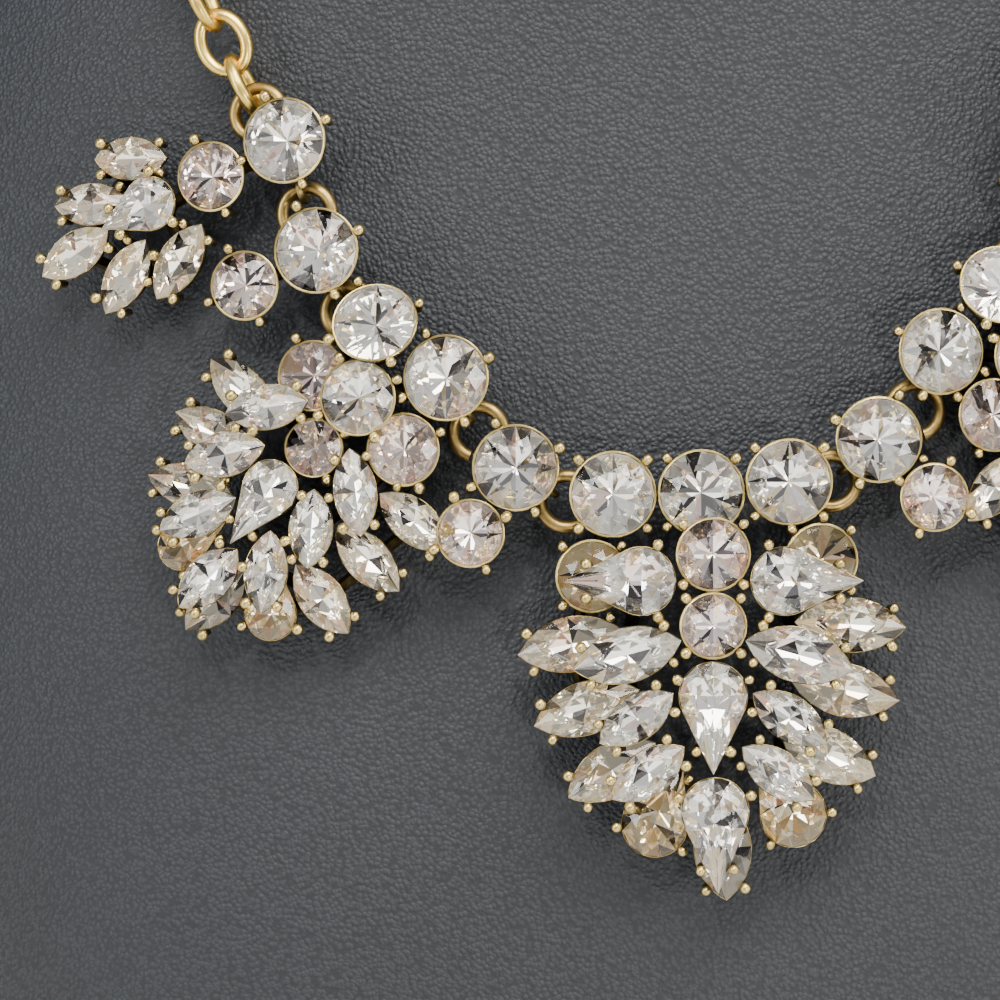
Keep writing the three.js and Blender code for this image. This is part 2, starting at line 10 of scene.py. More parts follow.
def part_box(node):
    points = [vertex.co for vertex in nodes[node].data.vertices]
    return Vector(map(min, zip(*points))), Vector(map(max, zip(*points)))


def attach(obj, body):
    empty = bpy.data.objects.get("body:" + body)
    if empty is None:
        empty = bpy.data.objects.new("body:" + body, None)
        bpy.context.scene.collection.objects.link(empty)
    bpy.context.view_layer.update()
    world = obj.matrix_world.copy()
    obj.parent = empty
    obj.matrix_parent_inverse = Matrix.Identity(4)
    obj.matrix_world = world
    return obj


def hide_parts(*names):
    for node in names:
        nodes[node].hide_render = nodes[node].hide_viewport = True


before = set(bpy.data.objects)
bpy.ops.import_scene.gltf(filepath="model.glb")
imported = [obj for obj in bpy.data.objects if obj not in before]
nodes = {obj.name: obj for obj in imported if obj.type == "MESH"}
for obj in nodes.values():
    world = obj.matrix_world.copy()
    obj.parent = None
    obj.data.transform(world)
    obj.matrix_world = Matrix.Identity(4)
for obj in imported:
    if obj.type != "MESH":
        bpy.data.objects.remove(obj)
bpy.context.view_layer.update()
mm = 0.001
dice = random.Random(11)


# Reading the frame

shapes = {
    "tableShare": 0.58,  # a stone's table as a share of its outline
    "crownShare": 0.18,  # crown height as a share of its width
    "seatHeight": 2.2 * mm,  # girdle of the lowest stones above the casting's back plane
    "corners": {12: "round", 8: "navette", 10: "pear"},  # sides of the CAD's tables
    "leastTurn": 0.07,  # corners that turn less than this are on a straight side
}


def hullOf(points, normal):  # corners of the outline round points in one plane, anticlockwise about its normal
    side = normal.orthogonal().normalized()
    other = normal.cross(side)
    flat = sorted({(round(p.dot(side), 8), round(p.dot(other), 8), tuple(p)) for p in points})
    halves = []
    for run in (flat, flat[::-1]):
        half = []
        for spot in run:
            while len(half) > 1:
                (ax, ay, _), (bx, by, _) = half[-2:]
                if (bx - ax) * (spot[1] - ay) - (by - ay) * (spot[0] - ax) > 0:
                    break
                half.pop()
            half.append(spot)
        halves += half[:-1]
    corners = [Vector(spot[2]) for spot in halves]
    around = zip(corners[-1:] + corners[:-1], corners, corners[1:] + corners[:1])
    return [b for a, b, c in around if (b - a).angle(c - b, 0) > shapes["leastTurn"]]


def flatOutlines(node):  # the outlines of a CAD node's flat faces that have as many corners as a table
    mesh = bmesh.new()
    mesh.from_mesh(nodes[node].data)
    bmesh.ops.remove_doubles(mesh, verts=mesh.verts, dist=2e-7)
    found, seen = [], set()
    for first in mesh.faces:
        if first in seen:
            continue
        seen.add(first)
        patch, queue = [], [first]
        while queue:
            face = queue.pop()
            patch.append(face)
            for near in (other for edge in face.edges for other in edge.link_faces):
                if near not in seen and near.normal.dot(first.normal) > 0.99999:
                    seen.add(near)
                    queue.append(near)
        if len(patch) >= min(shapes["corners"]) - 2:
            outline = hullOf([corner.co for face in patch for corner in face.verts], first.normal)
            if len(outline) in shapes["corners"]:
                found.append((outline, first.normal.copy()))
    mesh.free()
    return found


def circleMiddle(a, b, c):  # middle of the circle through three points
    ab, ac = b - a, c - a
    normal = ab.cross(ac)
    toMiddle = (ac.length_squared * normal.cross(ab) + ab.length_squared * ac.cross(normal))
    return a + toMiddle / (2 * normal.length_squared)


def readStone(points, normal):  # place, direction and sizes of the stone that a table belongs to
    cut = shapes["corners"][len(points)]
    share = shapes["tableShare"]
    middle = sum(points, Vector()) / len(points)
    if cut == "round":
        origin = middle
        width = length = 2 * sum((p - middle).length for p in points) / len(points) / share
        along = lieUp - normal * lieUp.dot(normal)
    elif cut == "navette":
        a, b = max(((p, q) for p in points for q in points), key=lambda ends: (ends[0] - ends[1]).length)
        origin, along = (a + b) / 2, a - b
        length = along.length / share
        sideways = normal.cross(along).normalized()
        width = 2 * max(abs((p - origin).dot(sideways)) for p in points) / share
    else:
        first = max(range(len(points)), key=lambda i: (points[i] - middle).length)
        tip, arc = points[first], [points[(first + 1 + i) % len(points)] for i in range(9)]
        origin = circleMiddle(arc[0], arc[4], arc[8])
        along = tip - origin
        radius = (arc[4] - origin).length
        width, length = 2 * radius / share, (along.length + radius) / share
    along = along.normalized()
    across = normal.cross(along)
    girdle = origin - normal * shapes["crownShare"] * width
    place = Matrix((along, across, normal)).transposed().to_4x4()
    place.translation = girdle
    return {"cut": cut, "length": length, "width": width, "place": place, "normal": normal, "girdle": girdle}


topTable = max(flatOutlines("stone_centre_top_middle"), key=lambda face: -face[1].y)
lieOut = topTable[1].normalized()  # out of the chest, square to the bib
lieAcross = Vector((1, 0, 0))
lieUp = lieOut.cross(lieAcross)
bibMiddle = sum(topTable[0], Vector()) / len(topTable[0])


def ownStone(node):
    tables = [face for face in flatOutlines(node) if face[1].dot(lieOut) > 0.6]
    stone = readStone(*max(tables, key=lambda face: sum(face[0], Vector()).dot(face[1])))
    stone["node"] = node
    return stone


halfHidden = [  # low stones whose tables lie partly under a raised one: places in that stone's frame, in mm
    {"over": "centre_wing_pear_left", "along": 5.35, "across": -0.5, "lean": 0, "cut": "round", "length": 7.6, "width": 7.6},
    {"over": "centre_drop_pear", "along": 0.72, "across": 8.65, "lean": 206, "cut": "pear", "length": 11.9, "width": 7.3},
    {"over": "centre_drop_pear", "along": 4.2, "across": 0.77, "lean": 2, "cut": "navette", "length": 11.4, "width": 6.3},
    {"over": "side_left_pear", "along": -0.95, "across": -9.06, "lean": -83, "cut": "navette", "length": 9.8, "width": 4.9},
    {"over": "side_right_pear", "along": -0.95, "across": 9.06, "lean": 83, "cut": "navette", "length": 9.8, "width": 4.9},
]
tierStep = 1.8 * mm
likely = {"round": (0.9, 1.1), "navette": (1.7, 2.3), "pear": (1.4, 1.9)}  # length over width


def placeHalfHidden(row, over):
    place = over["place"] @ Matrix.Translation((row["along"] * mm, row["across"] * mm, -tierStep))
    place = place @ Matrix.Rotation(math.radians(row["lean"]), 4, "Z")
    return {"cut": row["cut"], "length": row["length"] * mm, "width": row["width"] * mm, "place": place,
            "normal": over["normal"], "girdle": place.translation.copy()}


def readCasting(name):
    stones = [ownStone(node) for node in sorted(nodes) if node.startswith(f"stone_{name}_")]
    for row in halfHidden:
        stones += [placeHalfHidden(row, over) for over in stones if over.get("node") == "stone_" + row["over"]]
    lead = next(s for s in stones if s["node"].endswith(("_big", "_big_low", "_top_middle")))
    back = lead["girdle"] - lead["normal"] * shapes["seatHeight"]
    casting = {"name": name, "normal": lead["normal"], "back": back, "stones": stones}
    for points, normal in flatOutlines(f"setting_{name}"):
        height = (points[0] - back).dot(casting["normal"])
        if normal.dot(casting["normal"]) < 0.98 or height < 2.7 * mm:
            continue
        stone = readStone(points, normal)
        gaps = [stone["girdle"] - other["girdle"] for other in stones]
        taken = any((gap - normal * gap.dot(normal)).length < 1.5 * mm for gap in gaps)
        low, high = likely[stone["cut"]]
        if not taken and 4 * mm < stone["width"] < 10 * mm and low < stone["length"] / stone["width"] < high:
            stones.append(stone)
    for stone in stones:
        stone["height"] = (stone["girdle"] - back).dot(casting["normal"])
        stone["low"] = stone["height"] < shapes["seatHeight"] + 0.3 * mm
    return casting


castings = {node[8:]: readCasting(node[8:]) for node in sorted(nodes) if node.startswith("setting_")}
print("stones read:", {name: len(casting["stones"]) for name, casting in castings.items()})


# Shader sums

class Wire:  # a shader socket that sums can be written with
    def __init__(self, tree, socket=None):
        self.tree = tree
        self.socket = socket

    def node(self, kind, settings, sockets, output=0):
        made = self.tree.nodes.new("ShaderNode" + kind)
        for name, value in settings.items():
            if name == "stops":
                elements = made.color_ramp.elements
                elements[0].position, elements[0].color = value[0]
                elements[1].position, elements[1].color = value[-1]
                for position, colour in value[1:-1]:
                    elements.new(position).color = colour
            else:
                setattr(made, name, value)
        for name, value in sockets.items():
            if isinstance(value, Wire):
                self.tree.links.new(value.socket, made.inputs[name])
            else:
                made.inputs[name].default_value = value
        return Wire(self.tree, made.outputs[output])

    def sum(self, operation, first, second):
        kinds = {side.socket.type for side in (first, second) if isinstance(side, Wire)}
        if "VECTOR" in kinds:
            first, second = [side if isinstance(side, Wire) else (side,) * 3 for side in (first, second)]
            return self.node("VectorMath", {"operation": operation}, {0: first, 1: second})
        if "RGBA" in kinds:
            first, second = [side if isinstance(side, Wire) else (side, side, side, 1) for side in (first, second)]
            mix = {"data_type": "RGBA", "blend_type": operation}
            return self.node("Mix", mix, {0: 1.0, 6: first, 7: second}, 2)
        return self.node("Math", {"operation": operation}, {0: first, 1: second})

    def blend(self, first, second):  # first where self is 0, second where it is 1
        return self.node("Mix", {"data_type": "RGBA"}, {0: self, 6: first, 7: second}, 2)

    def span(self, low, high, toLow=0.0, toHigh=1.0):  # low..high spread smoothly over toLow..toHigh
        ends = {"Value": self, 1: low, 2: high, 3: toLow, 4: toHigh}
        return self.node("MapRange", {"interpolation_type": "SMOOTHSTEP"}, ends)

    def __add__(self, other): return self.sum("ADD", self, other)
    def __radd__(self, other): return self.sum("ADD", other, self)
    def __sub__(self, other): return self.sum("SUBTRACT", self, other)
    def __rsub__(self, other): return self.sum("SUBTRACT", other, self)
    def __mul__(self, other): return self.sum("MULTIPLY", self, other)
    def __rmul__(self, other): return self.sum("MULTIPLY", other, self)
    def __truediv__(self, other): return self.sum("DIVIDE", self, other)
    def __rtruediv__(self, other): return self.sum("DIVIDE", other, self)


def makeMaterial(name, fixed, looks):
    material = bpy.data.materials.new(name)
    material.use_nodes = True
    tree = material.node_tree
    shader = tree.nodes["Principled BSDF"]
    for socket, value in fixed.items():
        shader.inputs[socket].default_value = value
    for socket, wire in looks(Wire(tree)).items():
        tree.links.new(wire.socket, shader.inputs[socket])
    return material


leather = {
    "grain": 1900.0,  # pebbles to a metre
    "drift": 0.0006,
    # darker colour between the pebbles: painted shade in the creases
    "paintedCreaseShade": (0.0075, 0.0085, 0.0105, 1),
    "face": (0.0150, 0.0170, 0.0205, 1),
    "bump": 0.00016,
}


def leatherLooks(wire):
    place = wire.node("TexCoord", {}, {}, "Object")
    wander = wire.node("TexNoise", {}, {"Vector": place, "Scale": 420.0, "Detail": 3.0}, 1)
    warped = place + wander * leather["drift"]
    cell = wire.node("TexVoronoi", {"feature": "F1"}, {"Vector": warped, "Scale": leather["grain"]})
    pebble = 1 - cell.span(0.12, 0.85)
    fine = wire.node("TexNoise", {}, {"Vector": place, "Scale": 2600.0, "Detail": 2.0})
    rub = wire.node("TexNoise", {}, {"Vector": place, "Scale": 30.0, "Detail": 2.0})
    height = pebble * 0.8 + fine * 0.45
    bump = wire.node("Bump", {}, {"Strength": 0.85, "Distance": leather["bump"], "Height": height})
    # pebble faces take the lighter colour and the creases between them the darker: painted shade in the creases
    colour = pebble.blend(leather["paintedCreaseShade"], leather["face"]) * rub.span(0.2, 0.8, 0.88, 1.12)
    return {"Base Color": colour, "Roughness": 0.6 - pebble * 0.13 + fine * 0.06, "Normal": bump}


metals = {
    "casting": {"deepPatinaAndShade": (0.016, 0.011, 0.005, 1), "dull": (0.15, 0.105, 0.036, 1), "bright": (0.60, 0.46, 0.17, 1)},
    "ring": {"deepPatinaAndShade": (0.05, 0.028, 0.010, 1), "dull": (0.19, 0.125, 0.04, 1), "bright": (0.50, 0.34, 0.11, 1)},
    "chain": {"deepPatinaAndShade": (0.09, 0.05, 0.014, 1), "dull": (0.44, 0.28, 0.055, 1), "bright": (0.86, 0.60, 0.15, 1)},
}


def metalLooks(tints):
    def looks(wire):
        place = wire.node("TexCoord", {}, {}, "Object")
        tone = wire.node("Attribute", {"attribute_name": "tone"}, {}, 2)
        patch = wire.node("TexNoise", {}, {"Vector": place, "Scale": 620.0, "Detail": 5.0, "Roughness": 0.65})
        grain = wire.node("TexNoise", {}, {"Vector": place, "Scale": 5200.0, "Detail": 3.0})
        # low tones and dark noise patches darken the metal: wear and antique patina, plus painted shade on the
        # castings' low, far back faces
        wearAndShade = (tone * 0.9 + patch * 0.7 - 0.32).span(0.0, 0.95)
        stops = [(0.0, tints["deepPatinaAndShade"]), (0.42, tints["dull"]), (0.95, tints["bright"])]
        colour = wire.node("ValToRGB", {"stops": stops}, {"Fac": wearAndShade})
        bump = wire.node("Bump", {}, {"Strength": 0.5, "Distance": 0.00004, "Height": grain * 0.6 + patch})
        return {"Base Color": colour, "Roughness": 0.5 - wearAndShade * 0.26 + grain * 0.08, "Normal": bump}
    return looks


def foilLooks(wire):  # the mirrored underside, each facet with a painted reflection shade of its own, and a painted glow from the same shade
    shade = wire.node("Attribute", {"attribute_name": "facetTint"}, {})
    return {"Base Color": shade, "Emission Color": shade * shade}


def floorLooks(wire):
    place = wire.node("TexCoord", {}, {}, "Object")
    cloud = wire.node("TexNoise", {}, {"Vector": place, "Scale": 3.0, "Detail": 4.0})
    return {"Base Color": cloud.blend((0.74, 0.73, 0.71, 1), (0.79, 0.78, 0.765, 1))}


finishes = {
    "leather": makeMaterial("pebbledLeatherette", {"Specular IOR Level": 0.4}, leatherLooks),
    "casting": makeMaterial("antiqueCastingGold", {"Metallic": 1.0}, metalLooks(metals["casting"])),
    "ring": makeMaterial("antiqueRingGold", {"Metallic": 1.0}, metalLooks(metals["ring"])),
    "chain": makeMaterial("warmChainGold", {"Metallic": 1.0}, metalLooks(metals["chain"])),
    "glass": makeMaterial("stoneGlass", {
        "Base Color": (0.99, 0.99, 0.985, 1), "Roughness": 0.0, "IOR": 1.56, "Transmission Weight": 1.0,
    }, lambda wire: {}),
    # the foil's Emission is a painted glow that lifts its dark facets, though it is no lamp
    "foil": makeMaterial("stoneFoilPaintedGlow", {"Metallic": 1.0, "Roughness": 0.035, "Emission Strength": 0.32}, foilLooks),
    "floor": makeMaterial("paleFloor", {"Roughness": 0.75}, floorLooks),
}
print("finishes made")


# Mesh making

class Heap:  # points and faces of one piece, each face with a tone from 0, deep and dark, to 1, polished; on the castings the low tones are partly antique patina in the hollows and partly painted shade on the faces lying low and far back
    def __init__(self):
        self.points, self.faces, self.tones = [], [], []

    def loft(self, rings, tone, caps=True, closed=False):
        start, around, count = len(self.points), len(rings[0]), len(rings)
        for ring in rings:
            self.points.extend(ring)
        for r in range(count if closed else count - 1):
            tint = tone[r] if isinstance(tone, (list, tuple)) else tone
            for i in range(around):
                a, b = start + r * around + i, start + r * around + (i + 1) % around
                up = ((r + 1) % count - r) * around
                self.faces.append((a, b, b + up, a + up))
                self.tones.append(tint)
        if caps and not closed:
            last = start + (count - 1) * around
            self.faces.append(tuple(range(start + around - 1, start - 1, -1)))
            self.faces.append(tuple(range(last, last + around)))
            self.tones += [tone[0], tone[-1]] if isinstance(tone, (list, tuple)) else [tone, tone]

    def ball(self, middle, radius, tone, around=10, rows=6):
        rings = []
        for r in range(rows):
            tilt = math.pi * (r + 0.5) / rows
            rings.append([middle + radius * Vector((
                math.sin(tilt) * math.cos(2 * math.pi * i / around),
                math.sin(tilt) * math.sin(2 * math.pi * i / around), -math.cos(tilt),
            )) for i in range(around)])
        self.loft(rings, tone)

    def rod(self, start, end, radius, tone, around=8, endRadius=None):
        aim = (end - start).normalized()
        side = aim.orthogonal().normalized()
        other = aim.cross(side)
        rings = []
        for place, size in ((start, radius), (end, endRadius or radius)):
            turns = [2 * math.pi * i / around for i in range(around)]
            rings.append([place + size * (math.cos(t) * side + math.sin(t) * other) for t in turns])
        self.loft(rings, tone)

    def wire(self, place, length, width, gauge, tone, segments=40, around=12, cut=0.0, cutAt=0.0):
        middle = (width - gauge) / 2
        rings = []
        count = segments + 1 if cut else segments
        for s in range(count):
            turn = cutAt + cut / 2 + (2 * math.pi - cut) * s / segments
            out = Vector((math.cos(turn), math.sin(turn), 0))
            spot = Vector((out.x * (middle + (length - width) / 2), out.y * middle, 0))
            rings.append([place @ (spot + gauge / 2 * (math.cos(t) * out + Vector((0, 0, math.sin(t)))))
                          for t in [2 * math.pi * i / around for i in range(around)]])
        self.loft(rings, tone, closed=not cut)

    def piece(self, name, finish, slot, replaced=(), smooth=40):
        mesh = bpy.data.meshes.new(name)
        mesh.from_pydata([tuple(p) for p in self.points], [], self.faces)
        mesh.attributes.new("tone", "FLOAT", "FACE").data.foreach_set("value", self.tones)
        return finishPiece(name, mesh, [finish], replaced, smooth)


def finishPiece(name, mesh, materials, replaced=(), smooth=None):
    shaping = bmesh.new()
    shaping.from_mesh(mesh)
    bmesh.ops.recalc_face_normals(shaping, faces=shaping.faces)
    shaping.to_mesh(mesh)
    shaping.free()
    if smooth:
        mesh.polygons.foreach_set("use_smooth", [True] * len(mesh.polygons))
        mesh.set_sharp_from_angle(angle=math.radians(smooth))
    for material in materials:
        mesh.materials.append(material)
    piece = bpy.data.objects.new(name, mesh)
    bpy.context.scene.collection.objects.link(piece)
    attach(piece, "root")
    if replaced:
        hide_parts(*replaced)
    return piece


def outlineAt(stone, share, grow=0.0):  # a point of a stone's outline, share 0..1 round it from its tip
    half, width, length = stone["width"] / 2, stone["width"], stone["length"]
    if stone["cut"] == "round":
        turn = 2 * math.pi * share
        return Vector((math.cos(turn), math.sin(turn), 0)) * (half + grow)
    if stone["cut"] == "navette":
        reach = length / 2
        radius = (reach * reach + half * half) / width
        spread = math.asin(reach / radius)
        flip = 1 if share % 1 < 0.5 else -1
        turn = spread - (share % 0.5) * 4 * spread
        out = Vector((math.sin(turn), math.cos(turn), 0)) * flip
        return out * (radius + grow) - Vector((0, (radius - half) * flip, 0))
    tip = length - half
    tangent = math.acos(half / tip)
    straight, bend = math.sqrt(tip * tip - half * half), 2 * (math.pi - tangent) * half
    gone = (share % 1) * (2 * straight + bend)
    if straight < gone < straight + bend:
        turn = tangent + (gone - straight) / half
        return Vector((math.cos(turn), math.sin(turn), 0)) * (half + grow)
    flip = 1 if gone <= straight else -1
    back = gone if flip > 0 else 2 * straight + bend - gone
    out = Vector((math.cos(tangent), math.sin(tangent) * flip, 0))
    run = Vector((-math.sin(tangent), math.cos(tangent) * flip, 0))
    return Vector((tip, 0, 0)) + run * back + out * grow


# Stones

girdleBand = 0.03  # height of a stone's edge as a share of its width
cuts = {
    "round": {"fold": 8, "depth": 0.25, "waist": 0.34, "fall": 0.76, "keel": (0.0, 0.0), "floor": 0.3},
    "navette": {"fold": 8, "depth": 0.23, "waist": 0.50, "fall": 0.62, "keel": (-0.28, 0.28), "floor": 0.8},
    "pear": {"fold": 8, "depth": 0.23, "waist": 0.50, "fall": 0.62, "keel": (0.0, 0.32), "floor": 0.8},
}
tints = [  # how often, and the shade that the foil shows: painted reflections, light and dark, drawn at random for each facet
    (0.52, (1.0, 1.0, 0.985)), (0.12, (0.70, 0.70, 0.70)), (0.09, (0.30, 0.29, 0.30)),
    (0.12, (0.99, 0.90, 0.74)), (0.09, (0.97, 0.82, 0.78)), (0.06, (0.07, 0.065, 0.07)),
]


blush = ("column_low", "column_high", "round_small", "round_outer", "round_inner", "_small")


def stoneHue(stone):  # clear on top, champagne below, blush in the small rounds of the raised columns
    if "node" in stone:
        return (0.98, 0.89, 0.86) if stone["node"].endswith(blush) else (1.0, 0.98, 0.94)
    if stone["cut"] != "navette":
        return (0.97, 0.86, 0.64)
    return (1.0, 0.95, 0.84) if stone["low"] else (1.0, 0.98, 0.93)


def drawHueAndPaintedReflection(hue):
    roll = dice.random() * sum(often for often, shade in tints)
    for often, shade in tints:
        roll -= often
        if roll <= 0:
            break
    dim = dice.uniform(0.88, 1.0)
    return tuple(channel * dim * warmth for channel, warmth in zip(shade, hue)) + (1.0,)


def gemFaces(stone):  # facets as lists of points in the stone's own frame, with 0 for crown and 1 for foil
    cut = cuts[stone["cut"]]
    fold, width, length = cut["fold"], stone["width"], stone["length"]
    crown, depth, band = shapes["crownShare"] * width, cut["depth"] * width, girdleBand * width
    girdle = [outlineAt(stone, j / (2 * fold)) for j in range(2 * fold)]
    table = [girdle[2 * i] * shapes["tableShare"] + Vector((0, 0, crown)) for i in range(fold)]
    star = [girdle[2 * i + 1] * 0.82 + Vector((0, 0, crown * 0.56)) for i in range(fold)]
    under = [point - Vector((0, 0, band)) for point in girdle]
    waist = [girdle[2 * i + 1] * cut["waist"] - Vector((0, 0, band + depth * cut["fall"])) for i in range(fold)]
    low, high = cut["keel"][0] * length, cut["keel"][1] * length
    keel = [Vector((min(max(girdle[2 * i].x * 0.8, low), high), 0, -band - depth)) for i in range(fold)]
    faces = [(table, 0)]
    for i in range(fold):
        n, g, h, k = (i + 1) % fold, 2 * i, 2 * i + 1, (2 * i + 2) % (2 * fold)
        faces += [([table[i], star[i], table[n]], 0)]
        faces += [([star[i], girdle[g], girdle[h]], 0), ([star[i], girdle[h], girdle[k]], 0)]
        faces += [([table[i], girdle[g], star[i]], 0), ([table[n], star[i], girdle[k]], 0)]
        faces += [([girdle[g], under[g], under[h], girdle[h]], 1), ([girdle[h], under[h], under[k], girdle[k]], 1)]
        faces += [([under[g], waist[i], under[h]], 1), ([under[h], waist[i], under[k]], 1)]
        faces += [([under[g], keel[i], waist[i]], 1), ([under[k], waist[i], keel[n]], 1)]
        faces += [([waist[i], keel[i], keel[n]], 1)]
    return faces


def buildGems(name, stones, replaced=()):
    mesh = bmesh.new()
    tint = mesh.faces.layers.float_color.new("facetTint")
    for stone in stones:
        lilt = Matrix.Rotation(math.radians(dice.uniform(-1.3, 1.3)), 4, "X")
        lilt = lilt @ Matrix.Rotation(math.radians(dice.uniform(-1.3, 1.3)), 4, "Y")
        place = stone["place"] @ lilt
        corners = {}
        for points, kind in gemFaces(stone):
            verts = []
            for point in points:
                key = tuple(round(value * 1e7) for value in point)
                if key not in corners:
                    corners[key] = mesh.verts.new(place @ point)
                if corners[key] not in verts:
                    verts.append(corners[key])
            if len(verts) > 2:
                face = mesh.faces.new(verts)
                face.material_index = kind
                # each facet gets the stone's hue times a painted reflection shade
                face[tint] = drawHueAndPaintedReflection(stoneHue(stone))
    made = bpy.data.meshes.new(name)
    mesh.to_mesh(made)
    mesh.free()
    return finishPiece(name, made, [finishes["glass"], finishes["foil"]], replaced)


# Castings: cups, posts, bars, loops and prongs, soldered into one

work = {
    "rim": {"round": 0.24 * mm, "navette": 0.07 * mm, "pear": 0.08 * mm},  # metal round the girdle
    "rimTop": {"round": 0.06 * mm, "navette": -0.14 * mm, "pear": -0.12 * mm},
    "cupDepth": 1.45 * mm,
    "post": 1.25 * mm,
    "bar": 0.75 * mm,  # radius of the bars behind
    "barDrop": 1.3 * mm,  # their middles behind the casting's back plane
    "prongReach": {"round": 0.84 * mm, "navette": 0.58 * mm, "pear": 0.6 * mm},
    "prongWire": 0.36 * mm,
    "prongBall": 0.6 * mm,
    "loopWire": 0.95 * mm,
    "loopWidth": 3.7 * mm,
    "loopSag": 0.25 * mm,
    "loopRoot": 1.2 * mm,  # where a loop's bar ends, behind the casting's back plane
}
linkedRings = {  # for each jump ring, the stones behind which its two loops are soldered
    1: (("centre", "top"), ("inner", "big")),
    2: (("inner", "big"), ("side", "big_low")),
    3: (("side", "big_high"), ("outer", "big")),
    4: (("outer", "big"), ("end", "big")),
    5: (("end", "big"),),
}


def addCup(heap, stone, back):
    rim, top = work["rim"][stone["cut"]], work["rimTop"][stone["cut"]]
    sides = 40
    cut = cuts[stone["cut"]]
    keel = (cut["depth"] + girdleBand) * stone["width"] + 0.12 * mm  # just under the foil
    depth = max(stone["height"] - 0.1 * mm if stone["low"] else work["cupDepth"], keel + 0.2 * mm)
    levels = [(-depth, -0.16, 0.0), (-depth * 0.5, -0.05, 0.0), (top - 0.3 * mm, 0, rim), (top - 0.08 * mm, 0, rim),
              (top, 0, rim * 0.55), (top - 0.02 * mm, 0, 0), (top - 0.45 * mm, 0, 0), (-keel, cut["floor"] - 1, 0)]
    rings = []
    for level, pinch, grow in levels:
        ring = [outlineAt(stone, i / sides, grow) * (1 + pinch) for i in range(sides)]
        rings.append([stone["place"] @ (point + Vector((0, 0, level))) for point in ring])
    # tones fall from the rim down the cup walls: partly patina, partly painted shade deeper in the cup
    heap.loft(rings, [0.08, 0.14, 0.3, 0.72, 0.72, 0.3, 0.1, 0.05])
    if not stone["low"]:
        foot = postFoot(stone)
        top = stone["place"] @ (foot - Vector((0, 0, depth * 0.9)))
        normal = stone["casting"]["normal"]
        base = top - normal * ((top - back).dot(normal) + work["barDrop"])
        # the post behind the stone gets a near-black tone: painted shade, with some patina
        heap.rod(base, top, work["post"], 0.1)


def postFoot(stone):  # where the post of a raised stone stands, in the stone's own frame
    shift = {"round": 0, "navette": 0, "pear": -0.05}[stone["cut"]]
    return Vector((shift * stone["length"], 0, 0))


def prongSpots(stone, turn):
    reach = work["prongReach"][stone["cut"]]
    if stone["cut"] == "round":
        return [outlineAt(stone, (turn + 90 * i) / 360, reach) for i in range(4)]
    if stone["cut"] == "navette":
        return [outlineAt(stone, share, reach) for share in (0.085, 0.415, 0.585, 0.915)]
    return [outlineAt(stone, share, reach) for share in (0.1, 0.9, 0.36, 0.64)]


def insideStone(stone, point, grow):
    local = stone["place"].inverted() @ point
    if stone["cut"] == "round":
        return math.hypot(local.x, local.y) < stone["width"] / 2 + grow, local.z
    ring = [outlineAt(stone, i / 24, grow) for i in range(24)]
    turns = [(b - a).cross(Vector((local.x, local.y, 0)) - a).z for a, b in zip(ring, ring[1:] + ring[:1])]
    return all(turn > 0 for turn in turns) or all(turn < 0 for turn in turns), local.z


def addProngs(heap, casting):
    balls = []
    for stone in casting["stones"]:
        turn = 45 if casting["name"] == "centre" else 66
        if casting["name"].endswith("left"):
            turn = -turn
        for spot in prongSpots(stone, turn):
            tip = stone["place"] @ (spot + Vector((0, 0, dice.uniform(0.12, 0.3) * mm)))
            blocked = False
            for other in casting["stones"]:
                if other is not stone:
                    inside, height = insideStone(other, tip, 0.15 * mm)
                    blocked = blocked or (inside and -3 * mm < height < 1.1 * mm)
            if blocked or any((tip - ball).length < 0.75 * mm for ball in balls):
                continue
            balls.append(tip)
            drop = stone["height"] if stone["low"] else work["cupDepth"] * 0.8
            foot = stone["place"] @ (spot * 0.93 - Vector((0, 0, drop)))
            heap.rod(foot, tip, work["prongWire"] * 1.15, 0.35, 6, work["prongWire"])
            heap.ball(tip, work["prongBall"] * dice.uniform(0.9, 1.12), dice.uniform(0.72, 1.0))
    return len(balls)


def addBars(heap, casting):  # each low stone is joined to its nearest neighbours
    normal, back = casting["normal"], casting["back"]
    back = back - normal * work["barDrop"]
    feet = [s["girdle"] - normal * (s["girdle"] - back).dot(normal) for s in casting["stones"]]
    joined = set()
    for i, foot in enumerate(feet):
        near = sorted((j for j in range(len(feet)) if j != i), key=lambda j: (feet[j] - foot).length)[:2]
        for j in near:
            if (min(i, j), max(i, j)) not in joined:
                joined.add((min(i, j), max(i, j)))
                # the bars behind the stones get a near-black tone: painted shade, with some patina
                heap.rod(foot, feet[j], work["bar"], 0.08)


def wireFacts(node):  # middle and normal of a round wire ring
    points = np.array([v.co for v in nodes[node].data.vertices])
    middle = (points.max(0) + points.min(0)) / 2
    normal = Vector(np.linalg.svd(points - points.mean(0))[2][2])
    return Vector(points.mean(0)), normal if normal.dot(lieOut) > 0 else -normal


ringPlaces = {}
for side in ("left", "right"):
    for number in linkedRings:
        ringPlaces[number, side] = wireFacts(f"jump_ring_{number}_{side}")

jumpRing = {"outer": 7.15 * mm, "wire": 1.45 * mm, "cut": 0.13, "cutAt": {1: 200, 2: 75, 3: 250, 4: 60, 5: 300}}


def findStone(casting, name):
    return next(s for s in castings[casting]["stones"] if s.get("node") == f"stone_{casting}_{name}")


